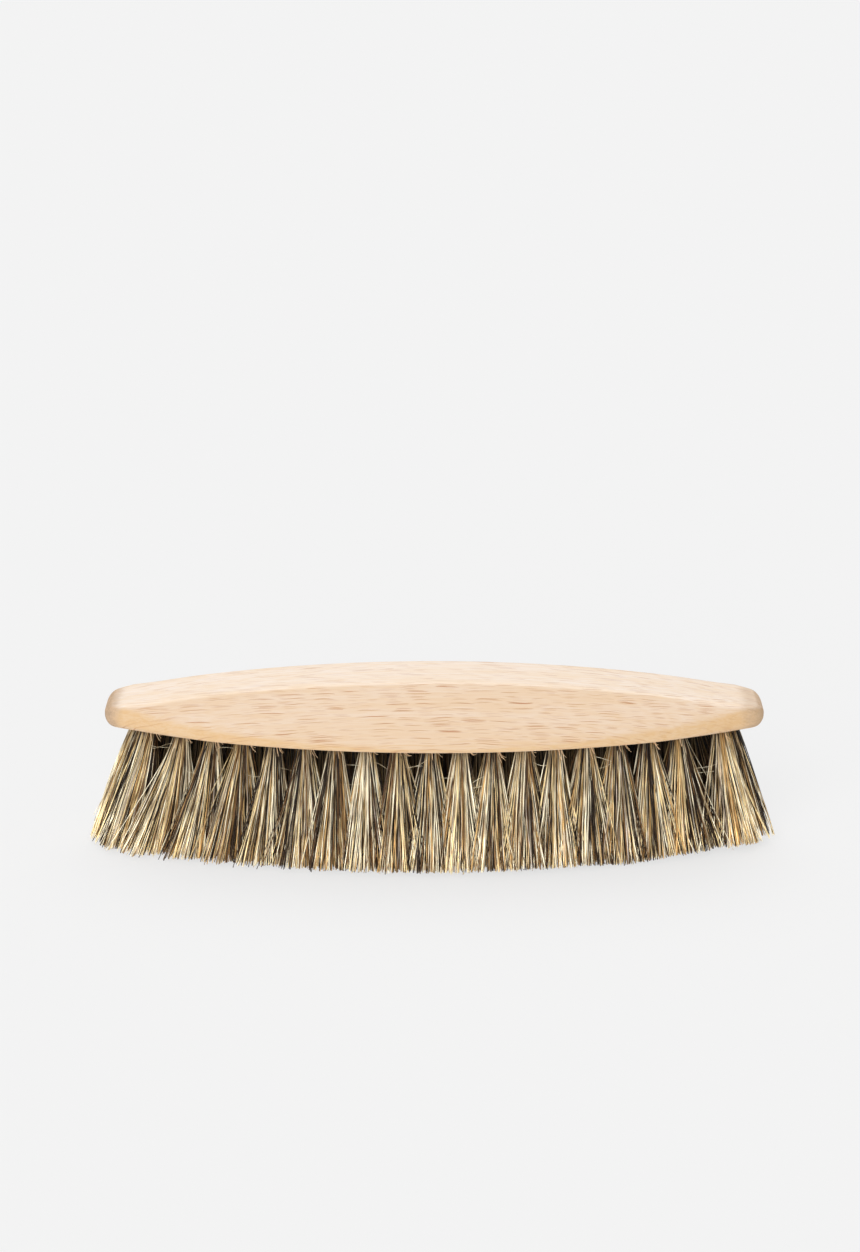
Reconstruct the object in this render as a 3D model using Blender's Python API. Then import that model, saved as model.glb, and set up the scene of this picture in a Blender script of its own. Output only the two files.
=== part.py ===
"""Shoe shine brush: a crowned wooden block filled with tufts of hair.

The block is one piece of beech with a flat underside, a crowned strip along the top and a
sloping facet on each long side. Its outline is a lens with rounded ends. Blind holes in the
underside hold the tufts: one tuft a hole all round the edge, and inside that ring the rows
of tufts are fused to slices of the block. All tufts are trimmed level.

X runs along the brush, the front is at -Y, and the tips stand on z = 0. Sizes are in metres.
"""

import math

import bmesh
import bpy
from mathutils import Vector

# The block
BLOCK_LENGTH = 0.180
BLOCK_WIDTH = 0.055
BLOCK_THICKNESS = 0.0137
END_WIDTH = 0.0150
WALL_HEIGHT = 0.0015
CROWN_DROP = 0.0080
STRIP_WIDTH = 0.0182
NOSE_RADIUS = 0.0070
END_ROUNDING = 0.0029
NOSE_TOP_ROUNDING = 0.0013
SIDE_ROUNDING = 0.0005
BROW_ROUNDING = 0.0026
CREASE_ROUNDING = 0.0012
ROUNDING_REACH = 0.030

# The tufts
TRIM_LENGTH = 0.033
EDGE_MARGIN = 0.0055
NOSE_MARGIN = 0.0099
NOSE_GAP = 0.0026
DRILL_SHIFT = 0.0012
HOLE_RADIUS = 0.0024
ROOT_DEPTH = 0.0029
FIT = 0.0003
END_LEAN = 0.0085
SIDE_LEAN = 0.0055
ROOT_INSET = 0.00012
SLICE_INSET = 0.00033

# Shares and counts
NOSE_LIMIT_SHARE = 0.98
ROUNDING_LIMIT_SHARE = 0.45
NOSE_STRIP_SHARE = 0.86
TUFT_SPREAD_SHARE = 0.39
ROW_SPREAD_SHARE = 0.47
SLICE_WIDTH_SHARE = 0.57
TIP_SIZE_SHARE = 1.6
SLICE_TIP_SHARE = 0.9
LEAST_SPACING_SHARE = 0.855
END_STEP_SHARE = 1.226
TUFT_STEPS = 9
CROWN_SECTIONS = 12
NOSE_SECTIONS = 6
ROUNDING_STEPS = 2
RING_COUNT = 3
ROOT_SIDES = 6
HOLE_SIDES = 12

NOSE_X = BLOCK_LENGTH / 2 - NOSE_MARGIN
ROW_END_X = NOSE_X - NOSE_GAP
OUTER_ROW_Y = BLOCK_WIDTH / 2 - EDGE_MARGIN
TUFT_PITCH = ROW_END_X / (TUFT_STEPS - 1 + END_STEP_SHARE)
ROW_PITCH = OUTER_ROW_Y / RING_COUNT
SLICE_WIDTH = ROW_PITCH * SLICE_WIDTH_SHARE


# The shape of the block


def arc_radius(half_chord, rise):
    """Radius of the arc that rises this much over half its chord."""
    return (half_chord**2 + rise**2) / (2 * rise)


def arc_drop(radius, x):
    """How far an arc has fallen at x from its top."""
    return radius - math.sqrt(radius**2 - x**2)


SIDE_RADIUS = arc_radius(BLOCK_LENGTH / 2, (BLOCK_WIDTH - END_WIDTH) / 2)
CROWN_RADIUS = arc_radius(BLOCK_LENGTH / 2, CROWN_DROP)
FACET_SLOPE = (BLOCK_THICKNESS - WALL_HEIGHT) / ((BLOCK_WIDTH - STRIP_WIDTH) / 2)


def nose_circle():
    """Radius and centre of the circle that rounds a corner of the outline.

    It touches the long side's arc from inside and the flat end, and it is made smaller where
    its centre would pass the middle line.
    """
    end_angle = math.asin(BLOCK_LENGTH / 2 / SIDE_RADIUS)
    largest = END_WIDTH / 2 / math.tan(math.pi / 4 - end_angle / 2)
    radius = min(NOSE_RADIUS, largest * NOSE_LIMIT_SHARE)
    centre_x = BLOCK_LENGTH / 2 - radius
    reach = math.sqrt((SIDE_RADIUS - radius) ** 2 - centre_x**2)
    return radius, centre_x, reach - (SIDE_RADIUS - BLOCK_WIDTH / 2)


CORNER_RADIUS, CORNER_X, CORNER_Y = nose_circle()
TANGENT_X = CORNER_X * SIDE_RADIUS / (SIDE_RADIUS - CORNER_RADIUS)


def half_width(x):
    """Half the width of the outline at x."""
    if abs(x) <= TANGENT_X:
        return BLOCK_WIDTH / 2 - arc_drop(SIDE_RADIUS, x)
    along = min(abs(x) - CORNER_X, CORNER_RADIUS)
    return CORNER_Y + math.sqrt(CORNER_RADIUS**2 - along**2)


def rounded(before, corner, after, size, steps):
    """Points of a rounded corner, as a curve between points this far along its two sides."""
    ends = []
    for side in (before - corner, after - corner):
        reach = min(size, side.length * ROUNDING_LIMIT_SHARE)
        ends.append(corner + side.normalized() * reach)
    start, end = ends
    shares = [i / steps for i in range(steps + 1)]
    return [start * (1 - t) ** 2 + corner * 2 * t * (1 - t) + end * t**2 for t in shares]


def end_inset(x, thickness, rounding):
    """How far the rounding of an end cuts into the block at x."""
    size = min(rounding, thickness * ROUNDING_LIMIT_SHARE)
    past = max(abs(x) - (BLOCK_LENGTH / 2 - size), 0)
    return arc_drop(size, min(past, size))


def block_section(x):
    """Ring of points round the block at x, from the front's lower edge over the top."""
    thickness = BLOCK_THICKNESS - arc_drop(CROWN_RADIUS, x)
    low = TRIM_LENGTH + end_inset(x, thickness, END_ROUNDING)
    high = TRIM_LENGTH + thickness - end_inset(x, thickness, NOSE_TOP_ROUNDING)
    wide = half_width(x)
    strip = min(STRIP_WIDTH / 2, wide * NOSE_STRIP_SHARE)
    wall_top = high - (wide - strip) * FACET_SLOPE * (high - low) / thickness
    near_end = max(0, 1 - (BLOCK_LENGTH / 2 - abs(x)) / ROUNDING_REACH)
    size = SIDE_ROUNDING + (END_ROUNDING - SIDE_ROUNDING) * near_end
    bottom = Vector((0, low))
    foot = Vector((wide, low))
    wall = Vector((wide, wall_top))
    crease = Vector((strip, high))
    top = Vector((0, high))
    half = rounded(bottom, foot, wall, size, ROUNDING_STEPS)
    half += rounded(foot, wall, crease, BROW_ROUNDING, ROUNDING_STEPS)
    half += rounded(wall, crease, top, CREASE_ROUNDING, ROUNDING_STEPS)
    front = [Vector((x, -y, z)) for y, z in half]
    rear = [Vector((x, y, z)) for y, z in reversed(half)]
    return front + rear


def section_places():
    """Places along the block for its sections, closer together round the noses."""
    half = [CORNER_X * i / CROWN_SECTIONS for i in range(CROWN_SECTIONS)]
    for i in range(NOSE_SECTIONS + 1):
        half.append(CORNER_X + CORNER_RADIUS * math.sin(math.pi / 2 * i / NOSE_SECTIONS))
    return [-x for x in reversed(half[1:])] + half


def loft(rings):
    """Closed mesh through rings of as many points each, and its side faces by segment."""
    bm = bmesh.new()
    rows = [[bm.verts.new(p) for p in ring] for ring in rings]
    count = len(rings[0])
    sides = []
    for one, two in zip(rows, rows[1:]):
        segment = []
        for i in range(count):
            j = (i + 1) % count
            segment.append(bm.faces.new((one[i], one[j], two[j], two[i])))
        sides.append(segment)
    bm.faces.new(list(reversed(rows[0])))
    bm.faces.new(rows[-1])
    return bm, sides


# Where the tufts stand


def row_y(x, ring):
    """Distance of a ring of tufts from the middle line at x; ring 0 is the outer one."""
    slope = x / math.sqrt(SIDE_RADIUS**2 - x**2)
    margin = EDGE_MARGIN * math.sqrt(1 + slope**2)
    return BLOCK_WIDTH / 2 - arc_drop(SIDE_RADIUS, x) - margin - ring * ROW_PITCH


def steps_out(first):
    """Places along a row at one tuft pitch, from this share of it on both sides.

    The rows are drilled a little to the left of the middle.
    """
    right = [(first + i) * TUFT_PITCH for i in range(TUFT_STEPS)]
    both = sorted({-x for x in right} | set(right))
    return [x - DRILL_SHIFT for x in both]


def far_enough(x, y, others):
    """True where a hole is this share of the tuft and row pitches or more from these."""
    apart = [math.hypot((x - a) / TUFT_PITCH, (y - b) / ROW_PITCH) for a, b in others]
    return min(apart) >= LEAST_SPACING_SHARE


def tuft_places():
    """The places of the tufts in each row, by row name."""
    rows = {"nose": [(-NOSE_X, 0.0), (NOSE_X, 0.0)]}
    taken = list(rows["nose"])
    for ring in range(RING_COUNT):
        places = steps_out(ring % 2 / 2)
        if ring == 0:
            places = [-ROW_END_X, *places, ROW_END_X]
        kept = []
        for x in places:
            y = row_y(x, ring)
            if y >= ROW_PITCH / 2 and far_enough(x, y, taken):
                kept.append(x)
        for name, side in (("front", -1), ("rear", 1)):
            rows[f"{name}_{ring + 1}"] = [(x, side * row_y(x, ring)) for x in kept]
            taken += rows[f"{name}_{ring + 1}"]
    rows["middle"] = [(x, 0.0) for x in steps_out(1 / 2) if far_enough(x, 0, taken)]
    return rows


def runs(places):
    """Splits a row into runs of tufts with no place left out between them."""
    found = []
    for place in places:
        if not found or place[0] - found[-1][-1][0] > TUFT_PITCH * 3 / 2:
            found.append([])
        found[-1].append(place)
    return found


def tip_of(x, y):
    """Where the middle of a tuft has leant to at its tips."""
    lean = END_LEAN * (x / NOSE_X) ** 3
    return Vector((x + lean, y * (1 + SIDE_LEAN / OUTER_ROW_Y), 0))


def along_row(x, y):
    """Unit vector along the row at this tuft."""
    slope = 0 if y == 0 else -math.copysign(x / math.sqrt(SIDE_RADIUS**2 - x**2), y)
    return Vector((1, slope, 0)).normalized()


# Tufts and slices


def grow_strands(bm, roots, place, inset, tip_share):
    """Draws a strand from each root face down to the trim, fanned out within the tuft."""
    x, y = place
    middle = Vector((x, y, TRIM_LENGTH))
    tangent = along_row(x, y)
    normal = Vector((-tangent.y, tangent.x, 0))
    for root in roots:
        bmesh.ops.inset_individual(bm, faces=[root], thickness=inset, use_even_offset=True)
        tip = bmesh.ops.extrude_discrete_faces(bm, faces=[root])["faces"][0]
        start = tip.calc_center_median()
        away = (start - middle).normalized()
        end = tip_of(x, y) + tangent * away.dot(tangent) * TUFT_PITCH * TUFT_SPREAD_SHARE
        end += normal * away.dot(normal) * ROW_PITCH * ROW_SPREAD_SHARE
        for vert in tip.verts:
            vert.co = end + (vert.co - start) * tip_share


def sheared(bm, place):
    """Slants a root or a hole cutter so that it points along its tuft."""
    x, y = place
    lean = tip_of(x, y) - Vector((x, y, 0))
    for vert in bm.verts:
        share = (vert.co.z - TRIM_LENGTH) / TRIM_LENGTH
        vert.co.x -= lean.x * share
        vert.co.y -= lean.y * share


def upright(bm, place, radius, sides, low, high):
    """Adds a cylinder between two heights, turned so that its sides follow the row."""
    made = bmesh.ops.create_cone(
        bm,
        cap_ends=True,
        cap_tris=True,
        segments=sides,
        radius1=radius,
        radius2=radius,
        depth=high - low,
    )
    tangent = along_row(*place)
    for vert in made["verts"]:
        flat = vert.co.xy.copy()
        vert.co.x = place[0] + tangent.x * flat.x - tangent.y * flat.y
        vert.co.y = place[1] + tangent.y * flat.x + tangent.x * flat.y
        vert.co.z += (low + high) / 2


def make_tuft(name, place, material, parent, collection):
    """One tuft: the folded root that fills its hole, and the strands that leave it."""
    bm = bmesh.new()
    radius = HOLE_RADIUS - FIT
    upright(bm, place, radius, ROOT_SIDES, TRIM_LENGTH, TRIM_LENGTH + ROOT_DEPTH)
    sheared(bm, place)
    roots = [f for f in bm.faces if f.calc_center_median().z < TRIM_LENGTH + ROOT_DEPTH / 4]
    grow_strands(bm, roots, place, ROOT_INSET, TIP_SIZE_SHARE)
    return finished(name, bm, material, parent, collection)


def slice_rings(run, half, overrun, low, high):
    """Rings of a slice that follows a run of tufts, two to a tuft."""
    rings = []
    for i, (x, y) in enumerate(run):
        tangent = along_row(x, y)
        normal = Vector((-tangent.y, tangent.x, 0)) * half
        before = SLICE_WIDTH / 2 + (overrun if i == 0 else 0)
        after = SLICE_WIDTH / 2 + (overrun if i == len(run) - 1 else 0)
        for reach in (-before, after):
            middle = Vector((x, y, 0)) + tangent * reach
            below = Vector((0, 0, low))
            above = Vector((0, 0, high))
            rings.append(
                [
                    middle + normal + below,
                    middle - normal + below,
                    middle - normal + above,
                    middle + normal + above,
                ]
            )
    return rings


def make_slice(name, run, material, parent, collection):
    """A run of inner tufts, fused to the slice of the block that carries them."""
    high = TRIM_LENGTH + ROOT_DEPTH
    bm, sides = loft(slice_rings(run, SLICE_WIDTH / 2, 0, TRIM_LENGTH, high))
    beds = [segment[0] for segment in sides[::2]]
    for place, bed in zip(run, beds):
        roots = bmesh.ops.poke(bm, faces=[bed])["faces"]
        grow_strands(bm, roots, place, SLICE_INSET, SLICE_TIP_SHARE)
    return finished(name, bm, material, parent, collection)


def hole_cutter(holes, slots, collection):
    """All the blind holes and slots of the underside, as one cutter."""
    bm = bmesh.new()
    low = TRIM_LENGTH - ROOT_DEPTH
    high = TRIM_LENGTH + ROOT_DEPTH + FIT
    for place in holes:
        one = bmesh.new()
        upright(one, place, HOLE_RADIUS, HOLE_SIDES, low, high)
        sheared(one, place)
        add_to(bm, one)
    for run in slots:
        one, _ = loft(slice_rings(run, SLICE_WIDTH / 2 + FIT, FIT, low, high))
        add_to(bm, one)
    cutter = finished("hole_cutter", bm, None, None, collection)
    cutter.hide_render = True
    cutter.display_type = "WIRE"
    return cutter


def add_to(bm, one):
    """Adds one bmesh to another."""
    mesh = bpy.data.meshes.new("one")
    one.to_mesh(mesh)
    one.free()
    bm.from_mesh(mesh)
    bpy.data.meshes.remove(mesh)


def make_block(material, parent, collection, cutter):
    """The wooden block, with the holes cut into its underside."""
    bm, _ = loft([block_section(x) for x in section_places()])
    block = finished("block", bm, material, parent, collection)
    holes = block.modifiers.new("holes", "BOOLEAN")
    holes.operation = "DIFFERENCE"
    holes.solver = "EXACT"
    holes.object = cutter
    return block


# Scene


def finished(name, bm, material, parent, collection):
    """Turns a bmesh into an object of this name, facing out and shaded smooth."""
    bmesh.ops.recalc_face_normals(bm, faces=bm.faces)
    mesh = bpy.data.meshes.new(name)
    bm.to_mesh(mesh)
    bm.free()
    mesh.shade_smooth()
    mesh.set_sharp_from_angle(angle=math.radians(25))
    if material:
        mesh.materials.append(material)
    made = bpy.data.objects.new(name, mesh)
    made.parent = parent
    collection.objects.link(made)
    return made


def surface(name, colour, roughness):
    """A plain material."""
    material = bpy.data.materials.new(name)
    material.use_nodes = True
    shader = material.node_tree.nodes["Principled BSDF"]
    shader.inputs["Base Color"].default_value = (*colour, 1)
    shader.inputs["Roughness"].default_value = roughness
    shader.inputs["Metallic"].default_value = 0
    return material


def new_collection(name):
    """A collection under the scene's own."""
    made = bpy.data.collections.new(name)
    bpy.context.scene.collection.children.link(made)
    return made


def main():
    """Builds the brush."""
    for old in list(bpy.data.objects):
        bpy.data.objects.remove(old, do_unlink=True)
    brush = new_collection("shoe_shine_brush")
    cutters = new_collection("cutters")
    frame = bpy.data.objects.new("brush_frame", None)
    brush.objects.link(frame)
    beech = surface("beech", (0.78, 0.60, 0.42), 0.55)
    hair = surface("hair", (0.36, 0.28, 0.17), 0.60)

    rows = tuft_places()
    single = {}
    sliced = {}
    for name in ("front_1", "rear_1", "nose"):
        label = name.removesuffix("_1")
        for i, place in enumerate(rows.pop(name)):
            single[f"tuft_{label}_{i + 1:02d}"] = place
    for name, places in rows.items():
        for i, run in enumerate(runs(places)):
            if len(run) == 1:
                single[f"tuft_{name}_{i + 1:02d}"] = run[0]
            else:
                sliced[f"row_{name}_{i + 1}"] = run

    cutter = hole_cutter(single.values(), sliced.values(), cutters)
    make_block(beech, frame, brush, cutter)
    for name, place in single.items():
        make_tuft(name, place, hair, frame, brush)
    for name, run in sliced.items():
        make_slice(name, run, hair, frame, brush)
    tufts = len(single) + sum(len(run) for run in sliced.values())
    print(f"{tufts} tufts, {len(single)} in holes of their own, {len(sliced)} slices")


main()
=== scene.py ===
"""Shoe shine brush: a crowned beech block filled with tufts of mixed hair.

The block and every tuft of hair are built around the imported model. X runs along the brush,
the front is at -Y, and the tips stand on z = 0. Sizes are in metres.
"""

import math
from collections import namedtuple

import bmesh
import bpy
import numpy as np
from bpy.props import FloatProperty, FloatVectorProperty, IntProperty, PointerProperty
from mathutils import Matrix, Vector
from mathutils.geometry import delaunay_2d_cdt


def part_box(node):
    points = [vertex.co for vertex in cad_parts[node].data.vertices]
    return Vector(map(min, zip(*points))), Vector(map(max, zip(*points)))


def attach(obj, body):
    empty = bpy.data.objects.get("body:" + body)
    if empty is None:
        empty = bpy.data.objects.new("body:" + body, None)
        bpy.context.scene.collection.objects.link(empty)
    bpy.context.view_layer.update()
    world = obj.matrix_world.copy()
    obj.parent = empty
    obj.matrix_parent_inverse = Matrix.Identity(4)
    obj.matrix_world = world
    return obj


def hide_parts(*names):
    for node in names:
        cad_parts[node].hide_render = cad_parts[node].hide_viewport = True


bl_info = {
    "name": "Shoe Shine Brush",
    "version": (1, 0, 0),
    "blender": (4, 5, 0),
    "location": "3D View > Sidebar > Shoe Brush",
    "description": "Builds a beech shoe shine brush with tufts of mixed hair",
    "category": "Object",
}

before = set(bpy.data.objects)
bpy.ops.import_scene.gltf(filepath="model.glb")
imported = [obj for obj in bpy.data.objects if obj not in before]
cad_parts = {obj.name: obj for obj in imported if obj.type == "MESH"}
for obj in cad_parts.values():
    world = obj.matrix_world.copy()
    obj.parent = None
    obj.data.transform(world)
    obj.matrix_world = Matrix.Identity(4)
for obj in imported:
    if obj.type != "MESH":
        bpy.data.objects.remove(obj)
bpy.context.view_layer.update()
BLOCK_LOW, BLOCK_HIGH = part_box("block")
ROOT_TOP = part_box("tuft_nose_02")[1].z

BODY = "root"
WOOD_SLOT = "beech"
HAIR_SLOT = "hair"
BAKE_MAP = "OFBake"
MM = 0.001


# Sizes and colours


def size(name, description, default, smallest=0.0):
    """A length that a user may change."""
    return FloatProperty(
        name=name, description=description, default=default, min=smallest, unit="LENGTH"
    )


def share(name, description, default, largest=1.0):
    """A share that a user may change."""
    return FloatProperty(
        name=name, description=description, default=default, min=0, max=largest, subtype="FACTOR"
    )


def colour(name, description, default):
    """A colour that a user may change."""
    return FloatVectorProperty(
        name=name, description=description, default=default, size=3, min=0, max=1, subtype="COLOR"
    )


class BrushBlock(bpy.types.PropertyGroup):
    """Sizes and colours of the wooden block."""

    length: size("Length", "From nose to nose", BLOCK_HIGH.x - BLOCK_LOW.x)
    width: size("Width", "Across the middle", BLOCK_HIGH.y - BLOCK_LOW.y)
    thickness: size("Thickness", "At the top of the crown", BLOCK_HIGH.z - BLOCK_LOW.z)
    underside: size("Underside", "Height of the flat underside", BLOCK_LOW.z)
    end_width: size("End width", "Width that the outline tapers to", 0.0150)
    wall: size("Wall", "Height of the upright edge at the middle", 0.0015)
    crown: size("Crown", "How far the top falls to the noses", 0.0080)
    strip: size("Top strip", "Width of the strip along the top", 0.0182)
    nose_radius: size("Nose radius", "Rounding of the noses seen from above", 0.0070)
    end_rounding: size("End rounding", "Rounding of the noses' lower edges", 0.0029)
    nose_top_rounding: size("Nose top rounding", "Rounding of the noses' upper edges", 0.0027)
    side_rounding: size("Side rounding", "Rounding of the long lower edges", 0.0005)
    brow_rounding: size("Brow rounding", "Softness between the sides and the upright edges", 0.0026)
    crease_rounding: size("Crease rounding", "Softness of the crease by the strip", 0.0012)
    nose_crease: size("Nose crease", "Softness of the crease at the noses", 0.0060)
    rounding_reach: size("Rounding reach", "Where the edges begin to soften", 0.030)
    left_end: size("Left end grain", "Width of the end grain at the left nose", 0.0038)
    right_end: size("Right end grain", "Width of the end grain at the right nose", 0.0058)
    # Painted light and shade: the top strip is painted lighter, and the sloping sides and upright
    # edges darker and warmer, for how the light falls on them
    lit_top_wood: colour("Top", "Beech on the strip along the top", (0.862, 0.749, 0.655))
    shaded_side_wood: colour("Sides", "Beech on the sloping sides", (0.742, 0.596, 0.472))
    shaded_edge_wood: colour("Edges", "Beech on the upright edges", (0.712, 0.513, 0.319))
    band: colour("Bands", "Tint of the denser bands", (0.965, 0.895, 0.780))
    fleck: colour("Flecks", "The short dashes in the grain", (0.480, 0.235, 0.120))
    end_grain: colour("End grain", "Beech across the grain at the noses", (0.540, 0.380, 0.250))


class BrushHair(bpy.types.PropertyGroup):
    """Sizes and colours of the tufts."""

    edge_margin: size("Edge margin", "From the edge to the outer holes", 0.0055)
    nose_margin: size("Nose margin", "From a nose to its hole", 0.0099)
    nose_gap: size("Nose gap", "From a nose hole to the first edge hole", 0.0026)
    drill_shift: size("Drill shift", "How far left of the middle the rows are drilled", 0.0012)
    hole_radius: size("Hole radius", "Radius of the drilled holes", 0.0024)
    left_lean: size("Left lean", "How far the left end's tuft leans out", 0.0103)
    right_lean: size("Right lean", "How far the right end's tuft leans out", 0.0072)
    side_lean: size("Side lean", "How far the side tufts lean out", 0.0055)
    fan: share("Fan", "How far a tuft fans out, as a share of the way to the next one", 0.88)
    fan_across: size("Fan across", "How far a tuft fans out across its row", 0.0050)
    hair_radius: size("Hair radius", "Radius of a hair", 0.00016)
    unevenness: size("Unevenness", "How unevenly the hair ends", 0.00016)
    lift: size("Lift", "How far most tips end above the longest ones", 0.0004)
    tilt: size("Tilt", "How much lower the hair ends at the left than in the middle", 0.0004)
    sag: size("Sag", "How much lower the hair ends a little way in from the right", 0.0009)
    edge_hairs: IntProperty(
        name="Edge hairs", description="Hairs in a tuft at the edge", default=380, min=20
    )
    inner_hairs: IntProperty(
        name="Inner hairs", description="Hairs in a tuft inside the edge", default=220, min=20
    )
    black: colour("Black", "The darkest hairs", (0.026, 0.014, 0.007))
    brown: colour("Brown", "The brown hairs", (0.200, 0.105, 0.040))
    tan: colour("Tan", "The golden hairs", (0.680, 0.430, 0.170))
    straw: colour("Straw", "The straw hairs", (0.930, 0.735, 0.400))
    cream: colour("Cream", "The palest hairs", (0.990, 0.900, 0.670))
    ash: colour("Ash", "The grey hairs", (0.560, 0.480, 0.390))
    shade: colour("Shade", "Tint of the shaded parts", (1.000, 0.720, 0.420))


class BrushStage(bpy.types.PropertyGroup):
    """The floor, the light and the camera."""

    floor: colour("Floor", "Colour of the floor and the background", (0.876, 0.876, 0.876))
    overhead: share("Overhead", "Light from above", 0.52, 2.0)
    front: share("Front", "Light from the front", 0.68, 2.0)
    around: share("Around", "Light from all sides", 0.34, 2.0)
    distance: size("Distance", "From the camera to the brush", 0.900)
    elevation: FloatProperty(
        name="Elevation",
        description="How far the camera looks down",
        default=math.radians(20),
        subtype="ANGLE",
    )
    lens: FloatProperty(
        name="Lens", description="Focal length of the camera", default=94.26, unit="CAMERA"
    )


# The shape of the block


def arc_radius(half_chord, rise):
    """Radius of the arc that rises this much over half its chord."""
    return (half_chord**2 + rise**2) / (2 * rise)


def arc_drop(radius, x):
    """How far an arc has fallen at x from its top."""
    return radius - math.sqrt(radius**2 - x**2)


def rounded(before, corner, after, reach, steps):
    """Points of a rounded corner, as a curve between points this far along its two sides."""
    ends = []
    for side in (before - corner, after - corner):
        ends.append(corner + side.normalized() * min(reach, side.length * ROUNDING_LIMIT))
    start, end = ends
    steps_done = [i / steps for i in range(steps + 1)]
    return [start * (1 - t) ** 2 + corner * 2 * t * (1 - t) + end * t**2 for t in steps_done]


# Limits: a nose's radius to what fits, a rounding to its side, and the strip to the block's width
NOSE_LIMIT = 0.98
ROUNDING_LIMIT = 0.45
NOSE_STRIP = 0.86

# How finely the block is divided: half its length, one nose and each rounded corner
CROWN_SECTIONS = 56
NOSE_SECTIONS = 18
ROUNDING_STEPS = 5


class BlockShape:
    """The outline and the sections of the block, worked out from its sizes."""

    def __init__(self, sizes):
        self.sizes = sizes
        self.half = sizes.length / 2
        self.side_radius = arc_radius(self.half, (sizes.width - sizes.end_width) / 2)
        self.crown_radius = arc_radius(self.half, sizes.crown)
        self.slope = (sizes.thickness - sizes.wall) / ((sizes.width - sizes.strip) / 2)
        end_angle = math.asin(self.half / self.side_radius)
        largest = sizes.end_width / 2 / math.tan(math.pi / 4 - end_angle / 2)
        self.corner = min(sizes.nose_radius, largest * NOSE_LIMIT)
        self.corner_x = self.half - self.corner
        reach = math.sqrt((self.side_radius - self.corner) ** 2 - self.corner_x**2)
        self.corner_y = reach - (self.side_radius - sizes.width / 2)
        self.tangent_x = self.corner_x * self.side_radius / (self.side_radius - self.corner)

    def half_width(self, x):
        """Half the width of the outline at x."""
        if abs(x) <= self.tangent_x:
            return self.sizes.width / 2 - arc_drop(self.side_radius, x)
        along = min(abs(x) - self.corner_x, self.corner)
        return self.corner_y + math.sqrt(self.corner**2 - along**2)

    def thickness(self, x):
        """Thickness of the block along its middle line at x."""
        return self.sizes.thickness - arc_drop(self.crown_radius, x)

    def end_inset(self, x, rounding):
        """How far the rounding of an end cuts into the block at x."""
        reach = min(rounding, self.thickness(x) * ROUNDING_LIMIT)
        past = max(abs(x) - (self.half - reach), 0)
        return arc_drop(reach, min(past, reach))

    def section(self, x):
        """Ring of points round the block at x, from the front's lower edge over the top."""
        sizes = self.sizes
        thickness = self.thickness(x)
        low = sizes.underside + self.end_inset(x, sizes.end_rounding)
        high = sizes.underside + thickness - self.end_inset(x, sizes.nose_top_rounding)
        wide = self.half_width(x)
        strip = min(sizes.strip / 2, wide * NOSE_STRIP)
        wall_top = high - (wide - strip) * self.slope * (high - low) / thickness
        near_end = max(0, 1 - (self.half - abs(x)) / sizes.rounding_reach)
        edge = sizes.side_rounding + (sizes.end_rounding - sizes.side_rounding) * near_end
        bottom = Vector((0, low))
        foot = Vector((wide, low))
        wall = Vector((wide, wall_top))
        crease = Vector((strip, high))
        top = Vector((0, high))
        half = rounded(bottom, foot, wall, edge, ROUNDING_STEPS)
        half += rounded(foot, wall, crease, sizes.brow_rounding, ROUNDING_STEPS)
        fade = sizes.crease_rounding + (sizes.nose_crease - sizes.crease_rounding) * near_end**2
        half += rounded(wall, crease, top, fade, ROUNDING_STEPS)
        front = [Vector((x, -y, z)) for y, z in half]
        rear = [Vector((x, y, z)) for y, z in reversed(half)]
        return front + rear

    def flat_to(self):
        """How far from the middle the underside stays flat."""
        return self.half - min(self.sizes.end_rounding, self.thickness(self.half) * ROUNDING_LIMIT)

    def places(self):
        """Places along the block for its sections, closer together round the noses."""
        half = [self.corner_x * i / CROWN_SECTIONS for i in range(CROWN_SECTIONS)]
        for i in range(NOSE_SECTIONS + 1):
            turn = math.sin(math.pi / 2 * i / NOSE_SECTIONS)
            half.append(self.corner_x + self.corner * turn)
        return [-x for x in reversed(half[1:])] + half


# Where the tufts stand


RING_COUNT = 3
TUFT_STEPS = 9

# Distances between tufts, in pitches
LEAST_SPACING = 0.855
END_STEP = 1.226
WIDEST_SPACING = 1.4
RUN_GAP = 1.5

# Tufts lean along the brush by this power of their distance from its middle
LEAN_POWER = 3


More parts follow.
